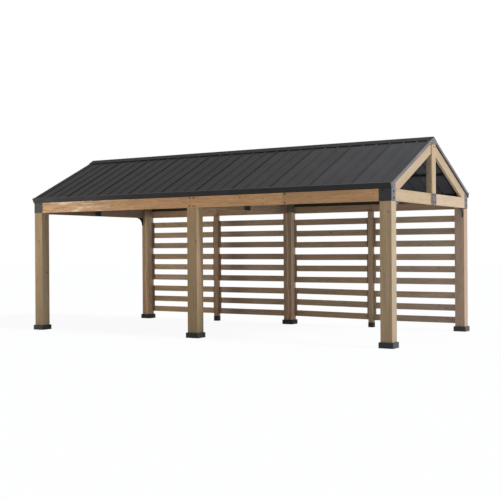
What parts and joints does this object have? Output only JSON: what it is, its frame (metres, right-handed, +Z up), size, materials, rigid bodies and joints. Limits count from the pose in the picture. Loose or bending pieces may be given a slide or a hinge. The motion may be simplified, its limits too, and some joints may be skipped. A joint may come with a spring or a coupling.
{
  "type": "timber carport",
  "caption": "Open timber carport with square posts, king-post trusses, a dark ribbed metal gable roof and slatted screens along its rear side.",
  "frame": {"origin": "centre of the plan at ground level", "axes": "+X along the ridge, -Y to the open front, +Z up"},
  "size_m": [6.246, 3, 2.8363],
  "materials": {
    "timber": "planed softwood with an oil stain, matte",
    "screen_timber": "planed softwood with a darker stain, matte",
    "roof_steel": "dark grey coated steel, satin",
    "bracket_steel": "dark grey coated steel, satin",
    "base_steel": "near-black coated steel, satin"
  },
  "bodies": {
    "root": {"front_left_post": "timber", "front_middle_post": "timber", "front_right_post": "timber", "rear_left_post": "timber", "rear_middle_post": "timber", "rear_right_post": "timber", "post_bases": "base_steel", "screen_post_left": "timber", "screen_post_right": "timber", "screen_post_shoes": "base_steel", "front_beam": "timber", "rear_beam": "timber", "tie_beam_left": "timber", "tie_beam_middle": "timber", "tie_beam_right": "timber", "king_post_left": "timber", "king_post_middle": "timber", "king_post_right": "timber", "rafters_left": "timber", "rafters_middle": "timber", "rafters_right": "timber", "purlins_front": "timber", "purlins_rear": "timber", "roof_sheets_front": "roof_steel", "roof_sheets_rear": "roof_steel", "ridge_cap": "roof_steel", "eave_trim_front": "roof_steel", "eave_trim_rear": "roof_steel", "rake_trim_left": "roof_steel", "rake_trim_right": "roof_steel", "corner_bracket_front_left": "bracket_steel", "corner_bracket_front_right": "bracket_steel", "corner_bracket_rear_left": "bracket_steel", "corner_bracket_rear_right": "bracket_steel", "middle_post_brackets": "bracket_steel", "king_post_plates": "bracket_steel", "apex_plates": "bracket_steel", "corner_gussets": "bracket_steel", "screen_far_left": "screen_timber", "screen_near_left": "screen_timber", "screen_near_right": "screen_timber", "screen_far_right": "screen_timber"}
  },
  "joints": []
}
